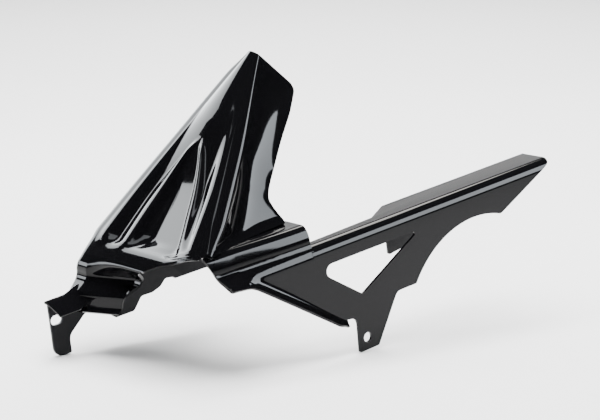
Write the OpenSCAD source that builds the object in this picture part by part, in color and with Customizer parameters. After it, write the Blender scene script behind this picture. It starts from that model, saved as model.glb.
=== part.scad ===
// Rear hugger mudguard with a chain guard, formed from one sheet.
// Frame: +X to the rear of the bike, +Y to its right side, +Z up.
// The origin is the middle of the foot bore at the outer face of the guard plate.
// Everything is drawn level along the chain guard, and the whole is then tipped by rise.

/* [Sheet] */
// Thickness of the sheet in mm
sheet = 3; // [2:0.5:4]
// Rise of the chain guard towards the rear in degrees, as the part stands
rise = 9; // [0:1:15]

/* [Chain guard] */
// Height of the guard's top face over the foot bore in mm
top_z = 120.5; // [110:0.5:130]
// Rear end of the guard, measured from the foot bore in mm
guard_end = 305; // [280:1:330]
// Width of the top face over the chain in mm
top_w = 44.5; // [35:0.5:55]
// Width of the top face in its narrow front part in mm
top_w_narrow = 21; // [15:0.5:30]
// Outer radius between the guard's plate and its top face in mm
top_r = 12; // [8:0.5:16]
// Depth of the inner flange at its front end in mm
flange_h = 57; // [40:1:70]
// Depth of the inner flange at its rear end in mm
flange_h_rear = 40; // [30:1:50]
// Front end of the inner flange in mm
flange_x = 79; // [60:1:100]
// Radius of the cut-out round the rear sprocket in mm
arch_r = 117; // [100:1:125]
// Distance of the wheel axle behind the foot bore in mm
axle_x = 174; // [160:1:190]
// Height of the wheel axle against the foot bore in mm
axle_z = -30.5; // [-40:0.5:-20]

/* [Guard foot] */
// Diameter of the foot bore in mm
bore_d = 11; // [8:0.5:12]
// Width of the foot at its lower edge in mm
foot_w = 28; // [22:1:34]
// Height of the foot bore over the foot's lower edge in mm
foot_drop = 14; // [10:1:20]

/* [Blade] */
// Distance of the tyre's middle plane from the guard plate in mm
mid_y = 112; // [95:1:125]
// Length position of the blade's tip in mm
tip_x = -23; // [-35:0.5:-10]
// Height of the blade's tip over the foot bore in mm
tip_z = 315; // [290:0.5:330]
// Slope of the blade's crown in degrees
crown_slope = 45.5; // [42:0.1:52]
// Half width of the crown at its tip in mm
tip_w = 8.5; // [7:0.5:12]
// Half width of the crown at its base in mm
base_w = 101; // [80:1:105]
// Distance from the tip down to the crown's full width in mm
full_at = 236; // [200:1:240]
// Extra half width of the crown on its far side in mm
far_out = 5; // [0:0.5:8]
// Radius of the tyre clearance circle round the axle in mm
clear_r = 325; // [310:1:335]
// Height of the two ribs over the crown in mm
rib_h = 6; // [3:0.5:9]
// Depth of the crown's dished middle in mm
dish_h = 8; // [3:0.5:10]

/* [Shoulder] */
// Height of the shoulder's shelf over the foot bore in mm
shelf_z = 146; // [138:1:155]
// Front end of the shoulder in mm
shoulder_x0 = -192; // [-200:1:-180]
// Rear end of the shoulder in mm
shoulder_x1 = -58; // [-70:1:-50]

/* [Right side] */
// Outer face of the right side panel, measured from the guard plate in mm
side_y = 203; // [180:1:215]
// Lower edge of the right side panel in mm
side_z = 63; // [55:1:80]
// Length of the slot in the tab in mm
slot_l = 15; // [11:0.5:20]
// Height of the slot in the tab in mm
slot_h = 11; // [8:0.5:13]
// Length position of the tab's slot in mm
slot_x = -263; // [-268:0.5:-255]
// Height of the tab's slot over the foot bore in mm
slot_z = 66.5; // [60:0.5:75]

/* [Hidden] */
$fa = 6;
$fs = 1;
black = [0.05, 0.05, 0.055];

// smooth step between two values
function ease(a, b, v) = let(k = min(max((v - a) / (b - a), 0), 1)) k * k * (3 - 2 * k);
function mix(a, b, k) = a + (b - a) * k;

// The path of the crown and its base, as headings and lengths.
// each leg: length along the path, heading at its end in degrees below level
crown_len = 274;
bulge_r = 17;
crease_r = 12;
ridge_r = 9;
bulge_h = 90;
ledge_h = 32;
legs = [
    [crown_len, crown_slope],
    [bulge_r * (bulge_h - crown_slope) * PI / 180, bulge_h],
    [crease_r * (bulge_h - ledge_h) * PI / 180, ledge_h],
    [9, ledge_h],
    [ridge_r * (90 - ledge_h) * PI / 180, 90],
    [7, 90],
    [8 * 45 * PI / 180, 45],
    [2.5, 45]
];
// places of the rows along the crown, closer where the relief turns
crown_rows = [12, 32, 58, 84, 105, 115, 125, 138, 156, 180, 206, 228, 237, 243, 251, 260,
    crown_len];
turn_rows = [0, 3, 3, 1, 2, 1, 2, 1];
function leg_steps(l) = l == 0 ? crown_rows / crown_len
    : [for (i = [1:turn_rows[l]]) i / turn_rows[l]];

// one station: position along the path, x, z, heading
function leg_points(l, s0, x0, z0, h0) =
    [for (k = leg_steps(l)) let(
        dh = legs[l][1] - h0,
        len = legs[l][0],
        h = h0 + dh * k,
        r = abs(dh) < 0.01 ? 0 : len / (dh * PI / 180),
        fx = abs(dh) < 0.01 ? len * k * cos(h0) : r * (sin(h) - sin(h0)),
        fz = abs(dh) < 0.01 ? len * k * sin(h0) : r * (cos(h0) - cos(h)))
        [s0 + len * k, x0 - fx, z0 - fz, h]];
function walk(l, acc) =
    l == len(legs) ? acc :
    let(e = acc[len(acc) - 1])
    walk(l + 1, concat(acc, leg_points(l, e[0], e[1], e[2], e[3])));
stations = walk(0, [[0, tip_x, tip_z, crown_slope]]);

// Widths and depths of the blade.
function half_w(s) = s < full_at
    ? mix(tip_w, base_w, s / full_at) + 3 * sin(180 * s / full_at)
    : base_w;
// depth of a wall down to the tyre clearance circle
function to_circle(x, z) = let(
    dx = sin(crown_slope), dz = -cos(crown_slope),
    px = x - axle_x, pz = z - axle_z,
    b = px * dx + pz * dz,
    c = px * px + pz * pz - clear_r * clear_r)
    -b - sqrt(max(b * b - c, 0));
near_end_x = -80;
far_end_x = -48;
function to_x(x, end) = (end - x) / sin(crown_slope);
function to_z(z, level) = (z - level) / cos(crown_slope);
function near_depth(s, x, z) = min(
    max(to_circle(x, z), to_x(x, mix(near_end_x, shoulder_x1 - 4, ease(134, 156, s)))),
    to_z(z, shelf_z - 1));
function far_depth(x, z) = min(max(to_circle(x, z), to_x(x, far_end_x)), to_z(z, side_z));

// near limit of the sheet on the base, as a y value by path position
near_edge = [[236, 12.6], [241, 24], [247, 44], [252, 59], [258, 78], [268, 97], [278, 112],
    [292, 124], [306, 132], [322, 139], [345, 144]];
function near_lat(s) = s < 236 ? half_w(s) : mid_y - lookup(s, near_edge);

// relief of the crown over its flat, by lateral place and path position
rib_start = 112;
function rib_line(s, side) = let(k = max(min(s, 248) - rib_start, 0) / 126)
    side > 0 ? 54 * pow(k, 0.8) : 38 * pow(k, 0.5);
function bump(v) = abs(v) > 1 ? 0 : pow(cos(90 * v), 2);
function dish_edge(s) = 0.62 * half_w(s) + 1;
function dish_slope(s) = min(9, 0.8 * (half_w(s) - corner_r(s) - dish_edge(s)));
function relief(lat, s) = let(
    q = abs(lat),
    gone = 1 - ease(242, 251, s),
    grow = ease(70, 190, s),
    e = dish_edge(s),
    ew = max(dish_slope(s), 1),
    dish = -dish_h * (1 - ease(e - ew, e + ew, q)) * grow * gone,
    rib = rib_h * bump((q - rib_line(s, lat)) / 8) * ease(110, 122, s) * gone,
    flat_w = half_w(s) - corner_r(s),
    camber = min(5, 0.15 * flat_w) * (1 - ease(40, 150, s)) * (1 - pow(min(q / flat_w, 1), 2)))
    dish + rib + camber;
// columns of the half crown from its edge to its middle, along the lines of the relief
function half_cols(s, side) = let(
    w = half_w(s) - corner_r(s),
    e = dish_edge(s),
    ew = dish_slope(s),
    c = min(max(rib_line(s, side), 0.18 * w), e - ew - 5),
    lines = [w, e + ew, e - ew, min(c + 8, e - ew - 1), c, c - min(8, c * 0.6), 0] / w,
    plain = [for (i = [0:half_n]) 1 - i / half_n])
    mix(plain, lines, ease(62, 110, s) * (1 - ease(238, 254, s)));

// One section of the blade, its points as [lateral, depth].
half_n = 6;
corner_n = 2;
wall_n = 4;
far_n = 3;
function corner_r(s) = mix(4.5, 12, ease(0, 120, s)) - 3.5 * ease(240, 270, s) - 4 * ease(270, 300, s);
function near_r(s) = corner_r(s) * (1 - 0.6 * ease(190, 234, s));
// half width at the foot of the near wall, by path position
near_foot = [[0, 3], [21, 15], [43, 28], [74, 43], [103, 54], [130, 64], [150, 60],
    [170, 61], [190, 67], [210, 80], [232, 94]];
edge_n = wall_n + corner_n;
function edge_gap(s) = mix(1.2, (near_lat(s) + far_w(s) - corner_r(s)) / (edge_n + 2 * half_n),
    ease(238, 262, s));
function edge_at(s) = near_lat(s) - (s < 230 ? near_r(s) : edge_gap(s) * edge_n);
function near_part(st) = let(
    s = st[0], w = near_lat(s), r = near_r(s),
    d = max(near_depth(s, st[1], st[2]), r + 2),
    we = max(lookup(s, near_foot), w - 0.6 * (d - r) - 1),
    fl = ease(118, 150, s) * (1 - ease(215, 232, s)),
    rf = min(12, (d - r) * 0.6),
    wall = concat(
        [for (j = [wall_n:-1:1]) let(
            f = j / wall_n,
            a = max(f - 0.4, 0) / 0.6,
            straight = [mix(w, we, f), mix(r, d, f)],
            flare = f <= 0.4 ? [mix(w, we, f), mix(r, d - rf, f / 0.4)]
                : [we + rf * (1 - cos(90 * a)), d - rf + rf * sin(90 * a)])
            mix(straight, flare, fl)],
        [for (j = [corner_n:-1:1]) let(a = 90 * j / corner_n)
            [w - r + r * sin(a), r - r * cos(a)]]),
    edge = [for (j = [0:edge_n - 1]) [w - edge_gap(s) * j, -relief(w - edge_gap(s) * j, s)]])
    s < 230 ? wall : edge;
function far_w(s) = half_w(s) + far_out * ease(0, 30, s) - 8 * ease(286, 320, s);
function far_part(st) = let(
    s = st[0], w = far_w(s), r = corner_r(s),
    d = s < 236 ? max(far_depth(st[1], st[2]), r + 3) : r + mix(4, 1.2, ease(280, 298, s)),
    we = s < 236 ? min(w + 8, side_y - mid_y) : w - 2)
    concat(
        [for (j = [1:corner_n]) let(a = 90 * j / corner_n)
            [-(w - r + r * sin(a)), r - r * cos(a)]],
        [for (j = [1:far_n]) let(f = j / far_n)
            [-mix(w, we, f), mix(r, d, f)]]);
function crown_part(st) = let(
    s = st[0],
    a = edge_at(s),
    b = -(far_w(s) - corner_r(s)),
    u = ease(238, 254, s),
    near_cols = half_cols(s, 1),
    far_cols = half_cols(s, -1),
    n = half_n,
    lats = concat([for (j = [0:n]) mix(a * near_cols[j], mix(a, b, j / (2 * n)), u)],
        [for (j = [n - 1:-1:0]) mix(b * far_cols[j], mix(b, a, j / (2 * n)), u)]))
    [for (j = [0:2 * n]) [lats[j], (j == 0 && s < 230) || j == 2 * n ? 0 : -relief(lats[j], s)]];
function section(st) = concat(near_part(st), crown_part(st), far_part(st));

// slant of the base in plan: the near end lies further back
function slant(y, s) = 22 * ease(268, 292, s) * min(max((195 - y) / 60, 0), 1);
function place(st, p) = let(
    y = mid_y - p[0])
    [st[1] + p[1] * sin(st[3]) + slant(y, st[0]), y, st[2] - p[1] * cos(st[3])];

// inner points of a section, one sheet thickness below its outer points
function below(sec) = let(m = len(sec) - 1)
    [for (j = [0:m]) let(
        a = unit(sec[min(j + 1, m)] - sec[min(j, m - 1)]),
        b = unit(sec[max(j, 1)] - sec[max(j - 1, 0)]),
        c = unit(a + b))
        sec[j] + sheet / max(a * c, 0.7) * [c[1], -c[0]]];
blade_outer = [for (st = stations) [for (p = section(st)) place(st, p)]];
blade_inner = [for (st = stations) [for (p = below(section(st))) place(st, p)]];

// A closed sheet from a grid of outer points.
function unit(v) = v / max(norm(v), 1e-9);
function grid_normal(g, i, j) = let(
    n = len(g) - 1, m = len(g[0]) - 1,
    a = g[min(i + 1, n)][j] - g[max(i - 1, 0)][j],
    b = g[i][min(j + 1, m)] - g[i][max(j - 1, 0)])
    unit(cross(b, a));
function lowered(g) = [for (i = [0:len(g) - 1]) [for (j = [0:len(g[0]) - 1])
    g[i][j] - sheet * grid_normal(g, i, j)]];
module sheet_between(top, under) {
    n = len(top);
    m = len(top[0]);
    outer = [for (r = top) for (p = r) p];
    inner = [for (r = under) for (p = r) p];
    o = n * m;
    faces = concat(
        [for (i = [0:n - 2]) for (j = [0:m - 2]) [i * m + j, (i + 1) * m + j + 1, i * m + j + 1]],
        [for (i = [0:n - 2]) for (j = [0:m - 2]) [i * m + j, (i + 1) * m + j, (i + 1) * m + j + 1]],
        [for (i = [0:n - 2]) for (j = [0:m - 2])
            [o + i * m + j, o + i * m + j + 1, o + (i + 1) * m + j + 1]],
        [for (i = [0:n - 2]) for (j = [0:m - 2])
            [o + i * m + j, o + (i + 1) * m + j + 1, o + (i + 1) * m + j]],
        [for (j = [0:m - 2]) [j, o + j + 1, o + j]],
        [for (j = [0:m - 2]) [j, j + 1, o + j + 1]],
        [for (j = [0:m - 2]) let(k = (n - 1) * m) [k + j, o + k + j + 1, k + j + 1]],
        [for (j = [0:m - 2]) let(k = (n - 1) * m) [k + j, o + k + j, o + k + j + 1]],
        [for (i = [0:n - 2]) [i * m, o + (i + 1) * m, (i + 1) * m]],
        [for (i = [0:n - 2]) [i * m, o + i * m, o + (i + 1) * m]],
        [for (i = [0:n - 2]) let(k = m - 1) [i * m + k, o + (i + 1) * m + k, o + i * m + k]],
        [for (i = [0:n - 2]) let(k = m - 1) [i * m + k, (i + 1) * m + k, o + (i + 1) * m + k]]);
    polyhedron(concat(outer, inner), faces, convexity = 10);
}

module blade() {
    sheet_between(blade_outer, blade_inner);
}

// The near side: shelf, shoulder, ledge and the flared lower edge.
// lower trimmed edge in side view
trim_line = [[-178, 112], [-171, 109.5], [-161, 108.5], [-151, 106], [-141, 101], [-131, 94],
    [-25, 18]];
function trim(x) = lookup(x, trim_line);
// height of the front cut for a given level
function front_x(z) = shoulder_x0 + (shelf_z - z) * 0.41;
// profile from the shelf's inner edge to the guard's plate, as [y, z]
upper_rows = [[48, 146], [38, 146], [28, 146], [21, 146], [17.2, 145.2], [14.4, 143], [12.4, 139.8],
    [10.8, 135.6], [10, 132], [9.6, 128.5]];
lower_base = [[107.6, 0], [110.8, 0.4], [113.6, 1.5], [116.5, 3.4], [118.6, 5.6], [120.9, 7.4],
    [123.4, 8.8], [125.8, 9.4]];
flare_n = 12;
// the formed zone stands a little proud of the flat plate
proud = 0.3;
flare_out = 5.5;
flare_front = 8;
// bend of the lower edge: how far it turns outward, by distance from the trim
function flare(x, z) = let(
    front = 1 - ease(shoulder_x0 + 18, shoulder_x0 + 50, x),
    band = mix(14, 9, ease(-110, -30, x)),
    b = max(1 - (z - trim(x)) * 0.81 / band, 0))
    mix(flare_out, flare_front, front) * pow(b, 2.4);
function side_col(k) = let(
    x0 = shoulder_x0 + 9,
    xe = mix(x0, shoulder_x1, pow(k, 0.85)),
    zt = trim(xe),
    g = ease(shoulder_x0, shoulder_x1, xe),
    low = [for (j = [1:flare_n]) let(z = mix(128.5, zt, j / flare_n))
        [lookup(z, lower_base) - flare(xe, z), z]])
    [for (r = concat(upper_rows, low)) let(h = ease(112, 128, r[1]))
        [mix(front_x(r[1]) + 0.5 * max(r[0] - 17, 0), xe, min(k * 6, 1)), r[0] - 3 * g * h - proud,
            r[1] - 3 * g * ease(118, 140, r[1])]];
side_n = 12;
side_grid = [for (i = [0:side_n]) side_col(i / side_n)];
module near_side() {
    sheet_between(side_grid, lowered(side_grid));
}

// flared lower edge behind the shoulder, out to its rounded tip
tip_x1 = -25;
function lip_col(k) = let(
    x = mix(shoulder_x1 - 3, tip_x1, k),
    zt = trim(x),
    top = zt + mix(20, 9, k),
    drop = 3 * ease(0.8, 1, k))
    [for (j = [0:6]) let(
        z = mix(top, zt + drop, j / 6))
        [x, -flare(x, z) - 1.6 * proud, z]];
lip_grid = [for (i = [0:6]) lip_col(i / 6)];
module lip() {
    sheet_between(lip_grid, lowered(lip_grid));
}

// The chain guard.
module upright(t, y0 = 0) {
    translate([0, y0 + t, 0])
        rotate([90, 0, 0])
            linear_extrude(height = t)
                children();
}
// side outline of the guard from the shoulder to its rear end
module guard_side() {
    x0 = shoulder_x1 - 3;
    difference() {
        polygon(outline([[x0, trim(x0) + 9, 0], [-30, 28.8, 0], [-11.4, 26.4, 9],
            [-foot_w / 2 + 1, -foot_drop, 0], [foot_w / 2 + 1, -foot_drop, 0], [49.5, 37.5, 9],
            [79, 37.5, 0], [140, 70, 0], [219.5, 79, 0], [guard_end, 116.5, 9],
            [guard_end, top_z, 0], [x0, top_z, 0]]));
        translate([axle_x, axle_z])
            circle(r = arch_r, $fa = 2);
        window();
        circle(d = bore_d);
    }
}
// outline points [x, z, radius] turned into a polygon with rounded corners
function arc_of(a, b, c, r, n = 6) = let(
    u = unit(a - b), v = unit(c - b),
    half = acos(max(min(u * v, 1), -1)) / 2,
    t = r / tan(half),
    m = b + unit(u + v) * r / sin(half),
    p = b + u * t - m,
    q = b + v * t - m,
    a0 = atan2(p[1], p[0]),
    dd = atan2(q[1], q[0]) - a0,
    da = dd > 180 ? dd - 360 : dd < -180 ? dd + 360 : dd)
    [for (i = [0:n]) m + r * [cos(a0 + da * i / n), sin(a0 + da * i / n)]];
function outline(pts) = let(n = len(pts))
    [for (i = [0:n - 1]) let(
        a = pts[(i + n - 1) % n], b = pts[i], c = pts[(i + 1) % n])
        for (p = b[2] > 0 ? arc_of([a[0], a[1]], [b[0], b[1]], [c[0], c[1]], b[2]) : [[b[0], b[1]]])
            p];
module window() {
    polygon(outline([[-62, 96.5, 8], [0.5, 50, 3], [92, 96.5, 2.5]]));
}
module guard_plate() {
    intersection() {
        upright(sheet) guard_side();
        translate([-100, -1, -30])
            cube([450, 10, top_z - top_r + 30]);
    }
}
module corner_profile() {
    intersection() {
        translate([top_r, top_z - top_r])
            difference() {
                circle(r = top_r);
                circle(r = top_r - sheet);
            }
        translate([-1, top_z - top_r])
            square([top_r + 1, top_r + 1]);
    }
}
// radius along the guard's upper edge
module guard_radius() {
    x0 = shoulder_x1 - 3;
    intersection() {
        translate([x0, 0, 0])
            rotate([90, 0, 90])
                linear_extrude(height = guard_end - x0)
                    corner_profile();
        upright(top_r + 2, -1) guard_radius_side();
    }
}
module guard_radius_side() {
    polygon(outline([[-95, top_z - top_r, 0], [289.2, top_z - top_r, 0], [guard_end, 116.5, 9],
        [guard_end, top_z + 1, 0], [-95, top_z + 1, 0]]));
}
// top face over the chain, in plan
module guard_top() {
    translate([0, 0, top_z - sheet])
        linear_extrude(height = sheet)
            polygon([[shoulder_x1 - 3, top_r - 0.5], [guard_end, top_r - 0.5], [guard_end, top_w],
                [flange_x, top_w], [flange_x - 35, top_w_narrow + 2], [-33, top_w_narrow - 1],
                [shoulder_x1 - 3, top_w_narrow - 1.5]]);
}
// inner flange beside the chain
module guard_flange() {
    upright(sheet, top_w - sheet)
        polygon([[flange_x, top_z], [flange_x, top_z - flange_h], [230, top_z - flange_h_rear],
            [250, top_z - 28], [guard_end - 4, top_z - 6], [guard_end, top_z - 3], [guard_end, top_z]]);
}

// The right side panel with its tab.
panel_top = [for (st = stations) if (st[0] > 225 && st[0] < 320)
    [st[1] + sheet / 2 * sin(st[3]), st[2] - sheet / 2 * cos(st[3]), 0]];
panel_low = [[-250, 90, 0], [-270.5, 86, 0], [-272, 25, 11], [-250.5, 25, 2],
    [-250, 44, 12], [-226, 63, 10], [-205, 60, 0], [-188, 44.5, 4], [-163, 44.5, 5],
    [-151, 58, 6], [-136, 57.5, 6], [-124, 61, 6], [-116, side_z + 5, 4], [-90, side_z + 1, 0]];
module side_panel() {
    upright(sheet, side_y - sheet - 0.4)
        difference() {
            polygon(outline(concat(panel_top, panel_low)));
            translate([slot_x, slot_z]) {
                translate([-(slot_l - slot_h) / 2, 0])
                    circle(d = slot_h);
                translate([(slot_l - slot_h) / 2, 0])
                    circle(d = slot_h);
                square([slot_l - slot_h, slot_h], center = true);
            }
        }
}
// sloped arm that carries the tab forward of the base
arm_rows = [[181, 76], [186, 80], [192, 84.8], [197, 88.4], [202, 90.5]];
arm_grid = [for (i = [0:7]) let(x = mix(-224, -273, i / 7), up = 6 * (1 - ease(-250, -228, x)))
    [for (r = arm_rows) [x + (200 - r[0]) * 0.25, r[0], r[1] + 6 - up]]];
module arm() {
    sheet_between(arm_grid, lowered(arm_grid));
}

// the formed zone as one surface, at its own size
module formed() {
    resize([0, 0, 0]) {
        blade();
        near_side();
        lip();
        side_panel();
        arm();
    }
}

module hugger() {
    color(black)
        rotate([0, -rise, 0]) {
            formed();
            guard_plate();
            guard_radius();
            guard_top();
            guard_flange();
        }
}

hugger();
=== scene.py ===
# %% [markdown]
# # A rear hugger mudguard in glossy black sheet
# This lesson dresses one formed plastic part: a pointed blade over the tyre, a shoulder
# beside it, and a long chain guard. The real part is heated sheet pulled over a mould, so it
# is one skin with soft bends, and its edges are trimmed and lightly rounded.
# The measured CAD model is loaded first and stays fixed. Its box is noted now, and the
# shoulder's points are later held inside it.

# %% Load the frame
import math

import bmesh
import bpy
from mathutils import Matrix, Vector

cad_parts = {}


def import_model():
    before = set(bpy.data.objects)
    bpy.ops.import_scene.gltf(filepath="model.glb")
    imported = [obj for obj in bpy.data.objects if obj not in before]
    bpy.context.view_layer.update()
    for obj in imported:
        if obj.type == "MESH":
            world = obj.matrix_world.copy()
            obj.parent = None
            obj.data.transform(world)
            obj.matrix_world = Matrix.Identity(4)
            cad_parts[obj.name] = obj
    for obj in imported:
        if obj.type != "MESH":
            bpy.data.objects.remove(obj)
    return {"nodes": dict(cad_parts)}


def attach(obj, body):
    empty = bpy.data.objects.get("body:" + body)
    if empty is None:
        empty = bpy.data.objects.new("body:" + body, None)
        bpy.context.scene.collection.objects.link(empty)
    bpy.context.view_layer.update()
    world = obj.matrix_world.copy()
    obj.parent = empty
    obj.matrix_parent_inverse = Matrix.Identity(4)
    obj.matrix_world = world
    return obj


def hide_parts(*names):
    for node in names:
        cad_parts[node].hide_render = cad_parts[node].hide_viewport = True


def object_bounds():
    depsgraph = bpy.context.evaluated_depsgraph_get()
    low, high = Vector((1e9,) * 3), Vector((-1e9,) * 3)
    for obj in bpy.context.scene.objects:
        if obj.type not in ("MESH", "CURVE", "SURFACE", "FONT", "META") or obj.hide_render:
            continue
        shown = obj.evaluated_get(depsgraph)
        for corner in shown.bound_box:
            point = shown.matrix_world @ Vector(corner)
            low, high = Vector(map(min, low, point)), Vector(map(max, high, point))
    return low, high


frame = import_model()
cad_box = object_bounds()
print("nodes:", list(frame["nodes"]), "in the box", cad_box)

# %% [markdown]
# ## Level drawing, leaning part
# The guard is easiest to draw level, in millimetres from its foot bore. The real part leans
# when it stands, because the guard rises towards its tail. Whole objects could be turned at
# the end, but a finished piece keeps its place in its mesh, so every point is tipped as it
# is made.

# %% From level millimetres to the frame
MM = 0.001
RISE = math.radians(9)


def world(x, y, z):
    """A level point in millimetres, tipped by the rise, in metres."""
    c, s = math.cos(RISE), math.sin(RISE)
    return Vector((x * c - z * s, y, x * s + z * c)) * MM


print("100 mm behind the bore:", world(100, 0, 0))

# %% [markdown]
# ## Two blends that shape everything
# A formed sheet has no sudden steps: one shape always runs over into the next. A straight
# mix and a smooth step are enough for that, and they are easier to read than curve objects.

# %% Mix and ease
def mix(a, b, k):
    return a + (b - a) * k


def ease(a, b, v):
    """A smooth step from 0 at a to 1 at b."""
    k = min(max((v - a) / (b - a), 0.0), 1.0)
    return k * k * (3 - 2 * k)


print("ease a quarter of the way:", ease(0, 1, 0.25))

# %% [markdown]
# ## The path of the blade
# Seen from the side, the blade is one line: a straight crown, a rounded bulge, a crease, a
# ledge and a ridge that turns down to a trimmed lip. It could be a Bezier curve, but a list
# of legs, each with a length and the heading at its end, gives true arcs, and the distance
# along it is what the widths below are written against.

# %% The side path
TIP_X, TIP_Z = -23.0, 315.0
SLOPE = 45.5
CROWN_LEN = 274.0
BULGE_R, CREASE_R, RIDGE_R, LIP_R = 17.0, 12.0, 9.0, 8.0
BULGE_H, LEDGE_H, LIP_H = 90.0, 32.0, 45.0


def arc(radius, turn):
    return radius * math.radians(turn)


# (length, heading at its end, rows)
LEGS = [
    (CROWN_LEN, SLOPE, 92),
    (arc(BULGE_R, BULGE_H - SLOPE), BULGE_H, 12),
    (arc(CREASE_R, BULGE_H - LEDGE_H), LEDGE_H, 12),
    (9.0, LEDGE_H, 3),
    (arc(RIDGE_R, 90 - LEDGE_H), 90.0, 10),
    (7.0, 90.0, 3),
    (arc(LIP_R, LIP_H), LIP_H, 6),
    (2.5, LIP_H, 1),
]


def side_path():
    """Places along the blade: distance, x, z and heading in degrees."""
    s, x, z, h = 0.0, TIP_X, TIP_Z, SLOPE
    out = [(s, x, z, h)]
    for length, end, steps in LEGS:
        turn = end - h
        for k in range(steps):
            mid = math.radians(h + turn * (k + 0.5) / steps)
            step = length / steps
            x, z, s = x - step * math.cos(mid), z - step * math.sin(mid), s + step
            out.append((s, x, z, h + turn * (k + 1) / steps))
        h = end
    return out


PATH = side_path()
print("rows along the blade:", len(PATH), "over", round(PATH[-1][0], 1), "mm")

# %% [markdown]
# ## How wide the crown is
# The crown is a narrow point at the top and covers the whole tyre at its base, with rounded
# corners on both sides. Widths are measured out from the tyre's middle plane, so the left
# and right sides can differ a little, as they do on the real part. Every s below is the
# distance from the tip along the path, and each ease starts and ends at such distances.

# %% Widths and corner radii
MID_Y = 112.0
TIP_W, BASE_W, FULL_AT, FAR_OUT = 8.5, 101.0, 236.0, 5.0
SWELL, FAR_TUCK = 3.0, 8.0
TIP_CORNER, CROWN_CORNER = 7.5, 12.0
BULGE_LESS, LEDGE_LESS, NEAR_SHARP = 3.5, 4.0, 0.6
WALL_END = 234.0


def crown_w(s):
    if s >= FULL_AT:
        return BASE_W
    return mix(TIP_W, BASE_W, s / FULL_AT) + SWELL * math.sin(math.pi * s / FULL_AT)


def far_w(s):
    return crown_w(s) + FAR_OUT * ease(0, 30, s) - FAR_TUCK * ease(286, 320, s)


def corner_r(s):
    return (mix(TIP_CORNER, CROWN_CORNER, ease(0, 120, s)) - BULGE_LESS * ease(240, 270, s)
            - LEDGE_LESS * ease(270, 300, s))


def near_r(s):
    return corner_r(s) * (1 - NEAR_SHARP * ease(190, WALL_END, s))


print("half width at tip, middle, base:", [round(crown_w(s), 1) for s in (0, 118, 236)])

# %% [markdown]
# ## How deep the walls hang
# Both walls hang from the crown. Their lower edges are trimmed: they follow a circle that
# clears the tyre, stop behind at an upright line, and end at the shelf or the side panel.
# A boolean could trim them, but a wall whose depth is worked out row by row keeps an even
# grid. A rounded least and most of the three trims gives the real edge's soft corners.

# %% Depths of the two walls
CLEAR_R, AXLE_X, AXLE_Z = 325.0, 174.0, -30.5
SHELF_Z, SHOULDER_X0, SHOULDER_X1 = 146.0, -192.0, -58.0
SIDE_Y, SIDE_Z = 203.0, 63.0
NEAR_BACK, FAR_BACK = -80.0, -48.0
SHELF_SOFT, TIP_R = 4.0, 9.0
DOWN_X, DOWN_Z = math.sin(math.radians(SLOPE)), -math.cos(math.radians(SLOPE))


def soft_max(a, b, blend=12):
    return (a + b + math.hypot(a - b, blend)) / 2


def soft_min(a, b, blend=12):
    return (a + b - math.hypot(a - b, blend)) / 2


def to_circle(x, z):
    """Depth of a wall down to the tyre's clearance circle."""
    px, pz = x - AXLE_X, z - AXLE_Z
    b = px * DOWN_X + pz * DOWN_Z
    return -b - math.sqrt(max(b * b - (px * px + pz * pz - CLEAR_R**2), 0))


def to_x(x, end):
    return (end - x) / DOWN_X


def to_z(z, level):
    return (z - level) / -DOWN_Z


def near_depth(s, x, z):
    end = mix(NEAR_BACK, SHOULDER_X1 - 4, ease(134, 156, s))
    corner = TIP_R - math.sqrt(TIP_R**2 - max(TIP_R - s, 0)**2)
    trimmed = soft_max(to_circle(x, z), to_x(x, end))
    return soft_min(trimmed, to_z(z, SHELF_Z - 1), SHELF_SOFT) - corner


def far_depth(x, z):
    return min(max(to_circle(x, z), to_x(x, FAR_BACK)), to_z(z, SIDE_Z))


print("near wall depth half way down:", round(near_depth(*PATH[46][:3]), 1), "mm")

# %% [markdown]
# ## Tables for the freely formed edges
# Some lines of the real part follow no rule, such as the base's near edge and the lean of
# the near wall. They are kept as short tables of places and looked up, which is plainer to
# change than a spline object. One look-up is straight between its places and one is smooth.

# %% Look-ups and tables
NEAR_EDGE = [(236, 13), (241, 24), (247, 44), (252, 59), (258, 78), (268, 97), (278, 112),
             (292, 124), (306, 132), (322, 139), (345, 144)]
NEAR_LEAN = [(0, -5.5), (21, -2.5), (43, 1), (74, 3), (103, 3), (130, -1), (150, -4), (175, -5),
             (205, -4), (232, -1)]


def look_up(x, table):
    """The height of a straight-lined curve through a table of places."""
    if x <= table[0][0]:
        return table[0][1]
    for (x0, y0), (x1, y1) in zip(table, table[1:]):
        if x <= x1:
            return mix(y0, y1, (x - x0) / (x1 - x0))
    return table[-1][1]


def curve(x, table):
    """The height of a smooth curve through a table of places, flat beyond its ends."""
    if x <= table[0][0]:
        return table[0][1]
    if x >= table[-1][0]:
        return table[-1][1]
    i = max(k for k in range(len(table) - 1) if table[k][0] <= x)
    (x0, y0), (x1, y1) = table[i], table[i + 1]
    before, after = table[max(i - 1, 0)], table[min(i + 2, len(table) - 1)]
    w = x1 - x0
    m0, m1 = (y1 - before[1]) / (x1 - before[0]) * w, (after[1] - y0) / (after[0] - x0) * w
    k = (x - x0) / w
    return (y0 * (1 + 2 * k) * (1 - k)**2 + m0 * k * (1 - k)**2
            + y1 * k * k * (3 - 2 * k) + m1 * k * k * (k - 1))


def near_lat(s):
    return crown_w(s) if s < FULL_AT else MID_Y - look_up(s, NEAR_EDGE)


print("near edge of the ledge:", round(near_lat(292), 1), "mm from the middle plane")

# %% [markdown]
# ## The dish and the two ribs
# The crown is dished for stiffness. Two ribs start at one point on its middle line and part
# towards the base, and between them the sheet falls gently to one side, which is what turns
# the panel into a bright sail in the light. Displaced or sculpted relief would do, but
# heights written as a sum of simple bumps stay smooth and can be changed one at a time.

# %% Where the ribs run
RIB_START, RIB_STOP, RIB_RUN = 112.0, 248, 126
NEAR_RIB_OUT, FAR_RIB_OUT = 54, 38


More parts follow.
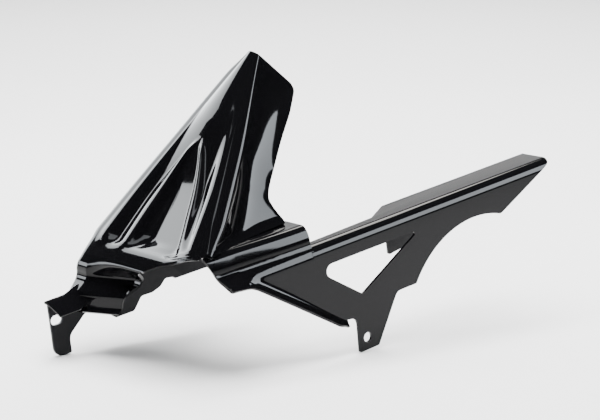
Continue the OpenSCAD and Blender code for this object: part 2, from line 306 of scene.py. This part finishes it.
def rib_line(s, side):
    k = max(min(s, RIB_STOP) - RIB_START, 0) / RIB_RUN
    return NEAR_RIB_OUT * k**0.8 if side > 0 else FAR_RIB_OUT * k**0.5


print("ribs at the base:", rib_line(240, 1), -rib_line(240, -1))

# %% The crown's relief
DISH_H = 5.0
NEAR_DISH, FAR_DISH, DISH_RUN = 0.62, 0.68, 12
RIB_HEIGHTS, RIB_TOP_W, RIB_IN_W, NEAR_RIB_W, FAR_RIB_W = (3.5, 5), 6, 13, 15, 24
PANEL_FALL, VALLEY = 0.075, 0.7
CAMBER_H, CAMBER_SHARE, CREST_RISE = 7, 0.2, 0.2


def bump(v):
    return 0.0 if abs(v) > 1 else math.cos(math.pi / 2 * v) ** 2


def dish_edge(s, side):
    return (NEAR_DISH if side > 0 else FAR_DISH) * crown_w(s) + 1


def dish_slope(s, side):
    return min(DISH_RUN, 0.8 * (crown_w(s) - corner_r(s) - dish_edge(s, side)))


def rib_height(lat, s):
    """The rib on this side: steep on its inner flank, wide and soft on its outer one."""
    q, line = abs(lat), rib_line(s, lat)
    outer = FAR_RIB_W if lat < 0 else NEAR_RIB_W
    half = mix(RIB_TOP_W, outer if q > line else RIB_IN_W, ease(RIB_START, 200, s))
    return (mix(*RIB_HEIGHTS, ease(RIB_START, 190, s)) * bump((q - line) / half)
            * ease(RIB_START - 4, 130, s))


def panel_tilt(lat, s):
    """Between the ribs the sheet falls away from the near rib to a valley by the far one."""
    near, far = rib_line(s, 1), -rib_line(s, -1)
    k = (near - lat) / max(near - far, 1)
    if not 0 < k < 1:
        return 0.0
    return -PANEL_FALL * (near - far) * min(k / VALLEY, 1) * (1 - ease(VALLEY, 1, k))


def relief(lat, s):
    """Height of the crown's face over its plain surface."""
    q = abs(lat)
    gone = 1 - ease(240, 252, s)
    grow = ease(60, 180, s)
    e, ew = dish_edge(s, lat), max(dish_slope(s, lat), 1)
    flat_w = crown_w(s) - corner_r(s)
    dish = -DISH_H * (1 - ease(e - ew, e + ew, q)) * grow * gone
    rib = rib_height(lat, s) * gone
    panel = panel_tilt(lat, s) * ease(126, 170, s) * (1 - ease(228, 244, s))
    camber = (min(CAMBER_H, CAMBER_SHARE * flat_w) * (1 - ease(60, 190, s))
              * (1 - min(q / flat_w, 1) ** 2))
    crest = CREST_RISE * max(flat_w - q, 0) * ease(e - ew, e + ew, q) * grow * gone
    return dish + rib + panel + camber + crest


print("relief on the middle line:", [round(relief(0, s), 1) for s in (0, 90, 160, 220)])

# %% [markdown]
# ## One section of the blade
# A section runs from the foot of the near wall, over the crown, to the foot of the far
# wall. Every section has the same number of points, which is what lets them be joined as a
# grid later. The near wall is hollow in the middle and runs over into the shelf at its
# foot; below the bulge there is no near wall, and the section only ends at its trimmed edge.

# %% The near wall and its corner
HALF_N, CORNER_N, NEAR_N, FAR_N = 40, 7, 18, 8
EDGE_N = NEAR_N + CORNER_N
WALL_D, HOLLOW = 58.0, 4
FILLET_OUT, FILLET_RUN = 5, 14


def edge_gap(s):
    even = (near_lat(s) + far_w(s) - corner_r(s)) / (EDGE_N + 2 * HALF_N)
    return mix(0.35, even, ease(238, 262, s))


def corner_points(w, r, order):
    """Points round a corner of radius r at half width w, as (out, depth)."""
    angles = [math.pi / 2 * j / CORNER_N for j in order]
    return [(w - r + r * math.sin(a), r - r * math.cos(a)) for a in angles]


def near_part(s, x, z):
    w, r = near_lat(s), near_r(s)
    if s >= WALL_END:
        lats = [w - edge_gap(s) * j for j in range(EDGE_N)]
        return [(lat, -relief(lat, s)) for lat in lats]
    d = max(near_depth(s, x, z), r + 2)
    full = to_z(z, SHELF_Z - 1)
    fillet = min(FILLET_OUT, 0.2 * full)
    hollow, lean = HOLLOW * ease(0, 40, s), curve(s, NEAR_LEAN)
    out = []
    for j in range(NEAR_N, 0, -1):
        dep = mix(r, d, j / NEAR_N)
        q = (dep - r) / (WALL_D - r)
        lat = w + lean * q + 4 * hollow * (q - 1) * min(q, 1)
        foot = max((dep - full + FILLET_RUN) / FILLET_RUN, 0)**2
        out.append((lat + fillet * foot, dep))
    return out + corner_points(w, r, range(CORNER_N, 0, -1))


print("points before the crown:", len(near_part(*PATH[40][:3])))

# %% The crown and the far wall
LIP_DEEP, LIP_SHALLOW, FAR_LEAN = 4, 1.2, 8


def crown_part(s):
    a = near_lat(s) - (near_r(s) if s < WALL_END else edge_gap(s) * EDGE_N)
    b = -(far_w(s) - corner_r(s))
    lats = [mix(a, b, j / (2 * HALF_N)) for j in range(2 * HALF_N + 1)]
    deps = [-relief(lat, s) for lat in lats]
    if s < WALL_END:
        deps[0] = 0.0
    deps[-1] = 0.0
    return list(zip(lats, deps))


def far_part(s, x, z):
    w, r = far_w(s), corner_r(s)
    out = [(-lat, dep) for lat, dep in corner_points(w, r, range(1, CORNER_N + 1))]
    d, foot = r + mix(LIP_DEEP, LIP_SHALLOW, ease(280, 298, s)), w - 2
    if s < FULL_AT:
        d, foot = max(far_depth(x, z), r + 3), min(w + FAR_LEAN, SIDE_Y - MID_Y)
    for j in range(1, FAR_N + 1):
        f = j / FAR_N
        out.append((-mix(w, foot, f), mix(r, d, f)))
    return out


print("points over the crown:", len(crown_part(40)), "and down:", len(far_part(*PATH[40][:3])))

# %% One row in the frame
LEDGE_SLANT = 22


def blade_row(station):
    """One row of the blade's outer face, as points in metres."""
    s, x, z, h = station
    sin_h, cos_h = math.sin(math.radians(h)), math.cos(math.radians(h))
    row = []
    for lat, dep in near_part(s, x, z) + crown_part(s) + far_part(s, x, z):
        y = MID_Y - lat
        slant = LEDGE_SLANT * ease(268, 292, s) * min(max((195 - y) / 60, 0), 1)
        row.append(world(x + dep * sin_h + slant, y, z - dep * cos_h))
    return row


print("points in a row:", len(blade_row(PATH[0])))

# %% [markdown]
# ## From rows of points to a sheet
# The real sheet starts flat and is pulled over a mould. The same is done here: a grid made
# by bmesh gives the faces, and each of its vertices is carried to its place on the formed
# surface, like a net laid over the mould. A Solidify modifier then gives the sheet its
# thickness inwards, so the outer face keeps its measured place, and a Bevel modifier
# rounds the trimmed edge, which catches the light as it does on the real part.

# %% A grid over the mould
def link_mesh(name, bm):
    """Turn a bmesh into an object in the scene."""
    mesh = bpy.data.meshes.new(name)
    bm.to_mesh(mesh)
    bm.free()
    piece = bpy.data.objects.new(name, mesh)
    bpy.context.scene.collection.objects.link(piece)
    print(name, "faces:", len(mesh.polygons))
    return piece


def formed_grid(name, rows, flip=False):
    """A grid whose vertices lie on the given rows of points."""
    n, m = len(rows) - 1, len(rows[0]) - 1
    bm = bmesh.new()
    bmesh.ops.create_grid(bm, x_segments=m, y_segments=n, size=0.5)
    for v in bm.verts:
        i, j = round((v.co.y + 0.5) * n), round((v.co.x + 0.5) * m)
        v.co = rows[i][j]
    if flip:
        bmesh.ops.reverse_faces(bm, faces=bm.faces)
    for f in bm.faces:
        f.smooth = True
    return link_mesh(name, bm)


blade = formed_grid("blade", [blade_row(st) for st in PATH])

# %% Thickness and rounded edges
SHEET, SOFT_EDGE = 3.0, 0.6


def thicken(piece, even=False):
    """Give the sheet its thickness inwards; the inner skin takes the second material."""
    wall = piece.modifiers.new("thickness", "SOLIDIFY")
    wall.thickness, wall.offset, wall.use_even_offset = SHEET * MM, -1.0, even
    wall.material_offset, wall.material_offset_rim = 1, 0


def round_edges(piece, width=SOFT_EDGE, angle=50):
    edge = piece.modifiers.new("trimmed edge", "BEVEL")
    edge.width, edge.segments = width * MM, 2
    edge.limit_method, edge.angle_limit = "ANGLE", math.radians(angle)
    edge.harden_normals = True


thicken(blade)
round_edges(blade)
print("blade modifiers:", [m.name for m in blade.modifiers])

# %% [markdown]
# ## The shoulder beside the blade
# A shelf runs along the foot of the near wall. It rolls over into a steep shoulder, then
# into the same radius as the chain guard's upper edge, and its lower edge flares outwards.
# Its section hardly changes along its length, so a sweep would nearly do, but the lower
# edge steps down towards the guard. So the upper rows come from one smooth profile, and
# the lower rows are spread between it and the trimmed edge.

# %% The shoulder's profile
TRIM_LINE = [(-178, 112), (-171, 109.5), (-161, 108.5), (-151, 106), (-141, 101), (-131, 94),
             (-25, 18)]
UPPER_ROWS = [(48, 146), (38, 146), (28, 146), (21, 146), (17.2, 145.2), (14.4, 143),
              (12.4, 139.8), (10.8, 135.6), (10, 132), (9.6, 128.5)]
LOWER_BASE = [(107.6, 0), (110.8, 0.4), (113.6, 1.5), (116.5, 3.4), (118.6, 5.6), (120.9, 7.4),
              (123.4, 8.8), (125.8, 9.4), (128.5, 9.6)]


def smooth_profile(points, per=4):
    """A Catmull-Rom curve through the profile's points."""
    out = []
    for i in range(len(points) - 1):
        p0, p1 = points[max(i - 1, 0)], points[i]
        p2, p3 = points[i + 1], points[min(i + 2, len(points) - 1)]
        for k in range(per):
            t = k / per
            out.append(tuple(
                0.5 * (2 * b + (c - a) * t + (2 * a - 5 * b + 4 * c - d) * t * t
                       + (3 * b - a - 3 * c + d) * t**3)
                for a, b, c, d in zip(p0, p1, p2, p3)))
    return out + [points[-1]]


def trim(x):
    return look_up(x, TRIM_LINE)


print("points over the shelf and shoulder:", len(smooth_profile(UPPER_ROWS)))

# %% The flared lower edge
LIP_END, FLUSH = -25.0, 0.05
FLARE_OUT, FLARE_FRONT, FLARE_CURL = 5.5, 8.0, 2.4
FLARE_WIDE, FLARE_NARROW, FLARE_LEAN = 14, 9, 0.81


def flare(x, z):
    """How far the sheet stands out near the shoulder's lower edge."""
    front = 1 - ease(SHOULDER_X0 + 18, SHOULDER_X0 + 50, x)
    band = mix(FLARE_WIDE, FLARE_NARROW, ease(-110, -30, x))
    b = min(max(1 - (z - trim(x)) * FLARE_LEAN / band, 0), 1)
    return mix(FLARE_OUT, FLARE_FRONT, front) * b**FLARE_CURL


print("flare at the edge, front and rear:", flare(-180, trim(-180)), flare(-60, trim(-60)))

# %% The rows of the shoulder
FLARE_N, SHOULDER_N = 60, 60
LOWER_TOP = 128.5
ROW_CROWD = 0.85
FRONT_RAKE, FRONT_SWEEP, STEP_IN = 0.41, 0.5, 3


def shoulder_row(k):
    x0 = SHOULDER_X0 + 9
    xs, xl = mix(x0, SHOULDER_X1, k**ROW_CROWD), mix(x0, LIP_END, k**ROW_CROWD)
    zt = trim(xl) + 3 * ease(-40, LIP_END, xl)
    places = [(y, z, xs) for y, z in smooth_profile(UPPER_ROWS)]
    for j in range(1, FLARE_N + 1):
        z = mix(LOWER_TOP, zt, j / FLARE_N)
        xe = mix(xs, xl, ease(0.45, 0.95, j / FLARE_N))
        y = look_up(z, LOWER_BASE) - flare(xe, z) - FLUSH * ease(-120, -60, xe)
        places.append((y, z, xe))
    row = []
    for y, z, xe in places:
        front = SHOULDER_X0 + (SHELF_Z - z) * FRONT_RAKE + FRONT_SWEEP * max(y - 17, 0)
        x = mix(front, xe, min(k * 6, 1))
        g = STEP_IN * ease(SHOULDER_X0, SHOULDER_X1, xe)
        row.append(world(x, y - g * ease(112, 128, z), z - g * ease(118, 140, z)))
    return row


shoulder = formed_grid("shoulder", [shoulder_row(i / SHOULDER_N) for i in range(SHOULDER_N + 1)])
thicken(shoulder)

# %% [markdown]
# ## Crisp edges on the shoulder
# The flared edge is so narrow that a bevel would smear its shading up the shoulder. Here
# the thick sheet is kept as a plain mesh instead, its sharp bends are marked, and the few
# points of the flare that lean past the measured part are drawn back to its box.

# %% Settle the shoulder
def applied_mesh(piece):
    """The piece's mesh with its modifiers in it, which are then taken off."""
    bpy.context.view_layer.update()
    done = bpy.data.meshes.new_from_object(piece.evaluated_get(
        bpy.context.evaluated_depsgraph_get()))
    piece.modifiers.clear()
    return done


def settle(piece, angle=40):
    done = applied_mesh(piece)
    bm = bmesh.new()
    bm.from_mesh(done)
    for v in bm.verts:
        v.co = Vector(min(max(c, lo), hi) for c, lo, hi in zip(v.co, *cad_box))
    for e in bm.edges:
        e.smooth = len(e.link_faces) == 2 and e.calc_face_angle(0) < math.radians(angle)
    print(piece.name, "sharp edges:", sum(not e.smooth for e in bm.edges))
    bm.to_mesh(done)
    bm.free()
    piece.data = done


settle(shoulder)

# %% [markdown]
# ## The chain guard's outlines
# Its plate, rounded upper edge and top face are one bend of the sheet, trimmed afterwards.
# On the real part a cutter follows a template. Here each outline is a list of corners with
# their radii, as on a drawing, so one corner can be changed without touching the rest.

# %% Outlines with rounded corners
TOP_Z, GUARD_END, TOP_W, TOP_R = 120.5, 305.0, 44.5, 12.0
GUARD_FRONT = -61.0
FOOT_W, FOOT_DROP = 28.0, 14.0


def rounded(points, steps=8):
    """A closed outline from (x, z, radius) corners."""
    out = []
    for i, (x, z, r) in enumerate(points):
        b = Vector((x, z))
        if not r:
            out.append(b)
            continue
        u = (Vector(points[i - 1][:2]) - b).normalized()
        v = (Vector(points[(i + 1) % len(points)][:2]) - b).normalized()
        half = u.angle(v) / 2
        mid = b + (u + v).normalized() * r / math.sin(half)
        p, q = b + u * r / math.tan(half) - mid, b + v * r / math.tan(half) - mid
        a0 = math.atan2(p.y, p.x)
        turn = math.atan2(q.y, q.x) - a0
        turn = (turn + math.pi) % (2 * math.pi) - math.pi
        for k in range(steps + 1):
            a = a0 + turn * k / steps
            out.append(mid + r * Vector((math.cos(a), math.sin(a))))
    return out


SIDE_OUTLINE = rounded([
    (GUARD_FRONT, trim(GUARD_FRONT) + 9, 0), (-30, 28.8, 0), (-11.4, 26.4, 9),
    (-FOOT_W / 2 + 1, -FOOT_DROP, 2), (FOOT_W / 2 + 1, 0.1 - FOOT_DROP, 2), (49.5, 37.5, 9),
    (79, 37.5, 1), (140, 70, 0), (219.5, 79, 1), (GUARD_END, 116.5, 9),
    (GUARD_END, TOP_Z + 1, 0), (GUARD_FRONT, TOP_Z + 1, 0)])
WINDOW = rounded([(-62, 96.5, 8), (0.5, 50, 3), (92, 96.5, 2.5)])
print("outline points:", len(SIDE_OUTLINE), "window points:", len(WINDOW))

# %% The bent sheet
def bent_profile(steps=16):
    """The guard's outer profile, from the plate's foot over the radius to the top's edge."""
    turns = [math.pi / 2 * k / steps for k in range(steps + 1)]
    radius = [(TOP_R - TOP_R * math.cos(a), TOP_Z - TOP_R + TOP_R * math.sin(a)) for a in turns]
    return [(0, -20)] + radius + [(TOP_W, TOP_Z)]


guard = formed_grid("chain_guard", [[world(x, y, z) for y, z in bent_profile()]
                                    for x in (GUARD_FRONT, GUARD_END)], flip=True)
thicken(guard, even=True)

# %% [markdown]
# ## Trimming the guard
# The window, the arch round the sprocket and the foot bore are cut through the bent sheet.
# Cutting with closed blocks keeps the walls of every hole square to the plate, as a punch
# leaves them. Each block is a flat outline pushed through the sheet, and is dropped once it
# has cut.

# %% Blocks and cuts
def block(name, loops, push):
    """A closed block: flat loops, the first filled round the others, pushed along a way."""
    bm = bmesh.new()
    edges = []
    for loop in loops:
        vs = [bm.verts.new(p) for p in loop]
        edges += [bm.edges.new((a, b)) for a, b in zip(vs, vs[1:] + vs[:1])]
    bmesh.ops.triangle_fill(bm, use_beauty=True, edges=edges)
    got = bmesh.ops.extrude_face_region(bm, geom=bm.faces[:])
    moved = [g for g in got["geom"] if isinstance(g, bmesh.types.BMVert)]
    bmesh.ops.translate(bm, verts=moved, vec=push)
    bmesh.ops.recalc_face_normals(bm, faces=bm.faces)
    return link_mesh(name, bm)


def side_block(name, y0, y1, *outlines):
    """A block of side outlines between two y values."""
    loops = [[world(p[0], y0, p[1]) for p in outline] for outline in outlines]
    return block(name, loops, (0, (y1 - y0) * MM, 0))


def cut(piece, tool, operation):
    """Apply one boolean and drop the tool."""
    mod = piece.modifiers.new("cut", "BOOLEAN")
    mod.object, mod.operation, mod.solver = tool, operation, "EXACT"
    piece.data = applied_mesh(piece)
    bpy.data.objects.remove(tool)
    print(piece.name, "faces after the cut:", len(piece.data.polygons))


CUT_NEAR, CUT_FAR, CUT_THROUGH = -5, 20, 60
cut(guard, side_block("side", CUT_NEAR, CUT_THROUGH, SIDE_OUTLINE), "INTERSECT")

# %% Arch, window and bore
ARCH_R, BORE_D = 117.0, 11.0


def circle(x, z, r, n):
    turns = [2 * math.pi * k / n for k in range(n)]
    return [Vector((x + r * math.cos(a), z + r * math.sin(a))) for a in turns]


for name, outline in (("arch", circle(AXLE_X, AXLE_Z, ARCH_R, 160)), ("window", WINDOW),
                      ("bore", circle(0, 0, BORE_D / 2, 48))):
    cut(guard, side_block(name, CUT_NEAR, CUT_FAR, outline), "DIFFERENCE")

# %% The narrow front of the top face
FLANGE_X, NARROW_W = 79.0, 21.0
NARROW_LOW, NARROW_TALL = 100, 30
FLAT_EDGE, FLAT_ANGLE = 0.5, 40
NARROW_CUT = [(FLANGE_X, 60), (FLANGE_X, TOP_W), (FLANGE_X - 35, NARROW_W + 2),
              (-33, NARROW_W - 1), (-90, NARROW_W - 2), (-90, 60)]
narrow_loop = [world(x, y, NARROW_LOW) for x, y in NARROW_CUT]
cut(guard, block("narrow_front", [narrow_loop], world(0, 0, NARROW_TALL)), "DIFFERENCE")
round_edges(guard, FLAT_EDGE, FLAT_ANGLE)

# %% [markdown]
# ## The flange beside the chain
# From the middle of the guard to its tail, the top face turns down again on the inner side
# and shields the chain from within. It is flat, so it is one outline with a thickness.

# %% The inner flange
FLANGE_H, FLANGE_H_REAR = 57.0, 40.0
FLANGE_OUTLINE = rounded([
    (FLANGE_X, TOP_Z, 0), (FLANGE_X, TOP_Z - FLANGE_H, 2), (230, TOP_Z - FLANGE_H_REAR, 4),
    (250, TOP_Z - 28, 4), (GUARD_END - 4, TOP_Z - 6, 2), (GUARD_END, TOP_Z - 3, 0),
    (GUARD_END, TOP_Z, 0)])
flange = side_block("inner_flange", TOP_W - SHEET, TOP_W, FLANGE_OUTLINE)
round_edges(flange, FLAT_EDGE, FLAT_ANGLE)

# %% [markdown]
# ## The right side panel and its tab
# On the far side, the blade's wall runs down to a flat panel. It steps forward under the
# ledge to a narrow tab with a slightly long hole, which lets the part be set before its
# screw is tightened. The panel's upper line is the blade's own path, moved in by half the
# sheet, so the two always meet. The hole is an inner loop of the same flat fill, and no
# boolean is needed.

# %% The side panel
SLOT_X, SLOT_Z, SLOT_L, SLOT_H = -263.0, 66.5, 15.0, 11.0
PANEL_BACK = 0.4
PANEL_FROM, PANEL_TO = 225, 320
PANEL_LOW = [(-250, 90, 0), (-270.5, 86, 2), (-272, 25, 11), (-250.5, 25, 2), (-250, 44, 12),
             (-226, 63, 10), (-205, 60, 0), (-188, 44.5, 4), (-163, 44.5, 5), (-151, 58, 6),
             (-136, 57.5, 6), (-124, 61, 6), (-116, SIDE_Z + 5, 4), (-90, SIDE_Z + 1, 0)]


def mid_sheet(x, z, h):
    """The corner in the middle of the sheet under a place of the path."""
    a = math.radians(h)
    return x + SHEET / 2 * math.sin(a), z - SHEET / 2 * math.cos(a), 0


CROWN_LINE = [mid_sheet(x, z, h) for s, x, z, h in PATH if PANEL_FROM < s < PANEL_TO][::3]
HALF_L = (SLOT_L - SLOT_H) / 2
SLOT_HOLE = rounded([
    (SLOT_X + a * (HALF_L + SLOT_H / 2), SLOT_Z + b * SLOT_H / 2, SLOT_H / 2 - 0.01)
    for a, b in ((-1, -1), (1, -1), (1, 1), (-1, 1))], 12)
panel = side_block("side_panel", SIDE_Y - SHEET - PANEL_BACK, SIDE_Y - PANEL_BACK,
                   rounded(CROWN_LINE + PANEL_LOW), SLOT_HOLE)
round_edges(panel, FLAT_EDGE, FLAT_ANGLE)

# %% [markdown]
# ## The sloped arm
# Between the lip of the blade and the tab, the sheet bends over and slopes down to the
# panel. It is a short strip with one profile, moved forward in small steps and raised
# towards the blade, so it is laid out with the same grid as the blade.

# %% The arm
ARM_ROWS = [(181, 76), (186, 80), (192, 84.8), (197, 88.4), (202, 90.5)]
ARM_REAR, ARM_FRONT, ARM_RISE, ARM_SKEW = -224, -273, 6, 0.25
ARM_N = 20


def arm_row(k):
    x = mix(ARM_REAR, ARM_FRONT, k)
    up = ARM_RISE * ease(-250, -228, x)
    return [world(x + (200 - y) * ARM_SKEW, y, z + up) for y, z in smooth_profile(ARM_ROWS)]


arm = formed_grid("arm", [arm_row(i / ARM_N) for i in range(ARM_N + 1)])
thicken(arm)
round_edges(arm)

# %% [markdown]
# ## The finish
# The outer face is glossy black plastic, so what shows is the room in it. The inner face
# keeps the sheet's dull back. A formed sheet is never quite flat, and its faint waviness
# keeps the reflections soft; both faces have it in different strengths, so it is a shared
# node group that only gives a normal. The flange and the side panel turn their dull side to
# the front, and take the dull finish whole.

# %% A shared surface group
RIPPLE_DEPTH = 0.001


def waviness_group():
    """Height of the faint ripple that a formed sheet keeps, with named inputs."""
    g = bpy.data.node_groups.new("formed sheet ripple", "ShaderNodeTree")
    g.interface.new_socket("Scale", in_out="INPUT", socket_type="NodeSocketFloat")
    g.interface.new_socket("Strength", in_out="INPUT", socket_type="NodeSocketFloat")
    g.interface.new_socket("Normal", in_out="OUTPUT", socket_type="NodeSocketVector")
    a, z = g.nodes.new("NodeGroupInput"), g.nodes.new("NodeGroupOutput")
    place = g.nodes.new("ShaderNodeTexCoord")
    noise = g.nodes.new("ShaderNodeTexNoise")
    noise.inputs["Detail"].default_value = 1.0
    height = g.nodes.new("ShaderNodeBump")
    height.inputs["Distance"].default_value = RIPPLE_DEPTH
    g.links.new(place.outputs["Object"], noise.inputs["Vector"])
    g.links.new(a.outputs["Scale"], noise.inputs["Scale"])
    g.links.new(noise.outputs["Fac"], height.inputs["Height"])
    g.links.new(a.outputs["Strength"], height.inputs["Strength"])
    g.links.new(height.outputs["Normal"], z.inputs["Normal"])
    return g


RIPPLE = waviness_group()
print("group inputs:", [s.name for s in RIPPLE.interface.items_tree if s.in_out == "INPUT"])

# %% [markdown]
# ## Two materials from one recipe
# The specular level is set low, and the softboxes are strong. A mirror-like black picks up
# the pale floor too, and would turn grey all over; a weak mirror keeps the floor's image
# near black while the bright softboxes still draw their bands.

# %% The outer and inner skins
SHEET_IOR, SPECULAR = 1.5, 0.125


def sheet_finish(name, colour, roughness, ripple_scale, ripple):
    mat = bpy.data.materials.new(name)
    mat.use_nodes = True
    tree = mat.node_tree
    skin = tree.nodes["Principled BSDF"]
    skin.inputs["Base Color"].default_value = (*colour, 1)
    skin.inputs["Roughness"].default_value = roughness
    skin.inputs["IOR"].default_value = SHEET_IOR
    skin.inputs["Specular IOR Level"].default_value = SPECULAR
    group = tree.nodes.new("ShaderNodeGroup")
    group.node_tree = RIPPLE
    group.inputs["Scale"].default_value = ripple_scale
    group.inputs["Strength"].default_value = ripple
    tree.links.new(group.outputs["Normal"], skin.inputs["Normal"])
    return mat


gloss_black = sheet_finish("gloss black sheet", (0.0025, 0.0025, 0.003), 0.06, 14, 0.03)
dull_black = sheet_finish("dull black back", (0.005, 0.005, 0.006), 0.4, 160, 0.15)
print("materials:", gloss_black.name, "and", dull_black.name)

# %% Give every piece its finish
pieces = [blade, shoulder, guard, flange, panel, arm]
for piece in pieces:
    piece.data.materials.clear()
    for mat in (gloss_black, dull_black):
        piece.data.materials.append(mat)
for piece in (flange, panel):
    for f in piece.data.polygons:
        f.material_index = 1
for piece in pieces:
    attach(piece, "root")
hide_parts("hugger")
print("pieces:", [p.name for p in pieces])

# %% [markdown]
# ## The floor
# The part stands on pale paper that curves up far behind it, so there is no edge between
# floor and wall in any view. Paper is matt, so a high roughness is all that it needs.

# %% Pale paper
FLOOR_R, SWEEP_R, SWEEP_H = 6.0, 1.2, 3.0
PAPER, PAPER_ROUGH = 0.86, 0.9
HEADING, ACROSS = Vector((0.643, 0.766, 0)), Vector((0.766, -0.643, 0))
low = min(p[2] for p in cad_box)
bend = [math.pi / 2 * k / 16 for k in range(17)]
SIDE_LINE = [(-FLOOR_R, 0.0)] + [
    (FLOOR_R - SWEEP_R + SWEEP_R * math.sin(a), SWEEP_R * (1 - math.cos(a)))
    for a in bend] + [(FLOOR_R, SWEEP_H)]
floor = formed_grid("pale paper", [
    [HEADING * d + ACROSS * w + Vector((0, 0, low + h)) for w in (-FLOOR_R, 0, FLOOR_R)]
    for d, h in SIDE_LINE])
paper = bpy.data.materials.new("pale paper")
paper.use_nodes = True
paper_skin = paper.node_tree.nodes["Principled BSDF"]
paper_skin.inputs["Base Color"].default_value = (PAPER, PAPER, PAPER, 1)
paper_skin.inputs["Roughness"].default_value = PAPER_ROUGH
floor.data.materials.append(paper)

# %% [markdown]
# ## Light for a black mirror
# Gloss black shows only what it mirrors, so the lights have two jobs that are kept apart.
# Softboxes that show in the gloss draw the blue-grey bands: one to the camera's right for
# the guard's radius, one nearer the camera for the near wall, one behind and to the left
# for the panel between the ribs, and low cards behind for the faces that look up. Two
# large lights that the gloss doesn't see make the floor bright and give the soft shadow
# under the part. One big light would be simpler, but it would grey the black all over.

# %% Softboxes
MIDDLE = Vector((0.0, 0.1, 0.12))
COOL, CLEAR, PALE = (0.88, 0.94, 1), (0.9, 0.95, 1), (0.93, 0.97, 1)
WARM, CREAM, WHITE = (1, 0.98, 0.93), (1, 0.98, 0.94), (1, 1, 1)


def softbox(name, place, aim, size, watts, mirrored=True, colour=WHITE):
    """A mirrored softbox shows in the gloss only; an unmirrored one lights the floor only."""
    light = bpy.data.lights.new(name, "AREA")
    light.shape, light.size, light.size_y = "RECTANGLE", size[0], size[1]
    light.energy, light.color = watts, colour
    ob = bpy.data.objects.new(name, light)
    ob.location = place
    ob.rotation_euler = (Vector(aim) - Vector(place)).to_track_quat("-Z", "Y").to_euler()
    ob.visible_glossy = mirrored
    ob.visible_diffuse = not mirrored
    ob.visible_camera = False
    bpy.context.scene.collection.objects.link(ob)


def around(azimuth, height, distance):
    """A place seen from the part in that direction, in degrees."""
    a, e = math.radians(azimuth), math.radians(height)
    return MIDDLE + distance * Vector((math.cos(a) * math.cos(e), math.sin(a) * math.cos(e),
                                       math.sin(e)))


# name, azimuth, height, distance, size, watts, colour
MIRRORED = [
    ("right softbox", -47, 22, 2.5, (1.3, 1.2), 125, COOL),
    ("front softbox", -92, 13, 2.4, (0.55, 0.8), 40, COOL),
    ("back softbox", 95.5, 24, 1.5, (1.2, 0.95), 58, PALE),
    ("left softbox", 131, 8, 1.4, (0.6, 0.3), 10, CLEAR),
    ("high left softbox", 172, 47, 1.8, (0.9, 0.6), 16, CLEAR),
    ("ceiling strip", 42, 52, 1.9, (0.9, 0.5), 26, WARM),
    ("low card", 50, 8, 2.2, (2.1, 0.5), 10, CREAM),
    ("high card", 52, 25, 2.2, (2.1, 0.75), 6.5, WHITE),
]
for name, azimuth, height, distance, size, watts, colour in MIRRORED:
    softbox(name, around(azimuth, height, distance), MIDDLE, size, watts, True, colour)
softbox("overhead", (0.0, 0.05, 2.4), MIDDLE, (2.4, 2.4), 285, False)
softbox("far floor light", (1.9, 2.3, 2.6), (1.9, 2.3, 0), (3.4, 3.4), 300, False)
print("lights:", len(bpy.data.lights))

# %% The room's own light
ROOM_COLOUR, ROOM_STRENGTH = (0.9, 0.92, 1, 1), 0.04
room = bpy.data.worlds.new("room")
bpy.context.scene.world = room
room.use_nodes = True
background = room.node_tree.nodes["Background"]
background.inputs["Color"].default_value = ROOM_COLOUR
background.inputs["Strength"].default_value = ROOM_STRENGTH
print("room strength:", ROOM_STRENGTH)

# %% [markdown]
# ## The camera
# The part is seen from the front and the chain's side, a little from above, with a long
# lens that keeps its far end nearly as large as its near end. The camera is placed by that
# angle and distance, and is then moved sideways and up until the foot bore lies at its own
# pixel. It could be turned towards the bore instead, but then the angle would change.

# %% Place the camera
LENS_MM, SENSOR_MM = 121.44, 36.0
VIEW_AZ, VIEW_EL, VIEW_DIST = -40.0, 11.0, 2.2
AIM_PIXEL = (367.9, 337.1)
IMAGE = (600, 420)


def place_camera():
    """A camera that sees the foot bore at its place in the picture."""
    az, el = math.radians(VIEW_AZ), math.radians(VIEW_EL)
    forward = Vector((-math.sin(az) * math.cos(el), math.cos(az) * math.cos(el), -math.sin(el)))
    right = Vector((math.cos(az), math.sin(az), 0))
    up = right.cross(forward)
    focal = LENS_MM / SENSOR_MM * IMAGE[0]
    off = (AIM_PIXEL[0] - IMAGE[0] / 2, AIM_PIXEL[1] - IMAGE[1] / 2)
    place = (-forward * VIEW_DIST - right * off[0] / focal * VIEW_DIST
             + up * off[1] / focal * VIEW_DIST)
    data = bpy.data.cameras.new("camera")
    data.lens, data.sensor_width = LENS_MM, SENSOR_MM
    ob = bpy.data.objects.new("camera", data)
    turn = Matrix((right, up, -forward)).transposed()
    ob.matrix_world = Matrix.Translation(place) @ turn.to_4x4()
    bpy.context.scene.collection.objects.link(ob)
    bpy.context.scene.camera = ob
    return ob


camera = place_camera()
print("camera at", tuple(round(c, 3) for c in camera.location))

# %% [markdown]
# ## Bring the scene up to date
# The dressed part has to keep the measured size. The view layer is brought up to date last.

# %% Update the scene
bpy.context.view_layer.update()
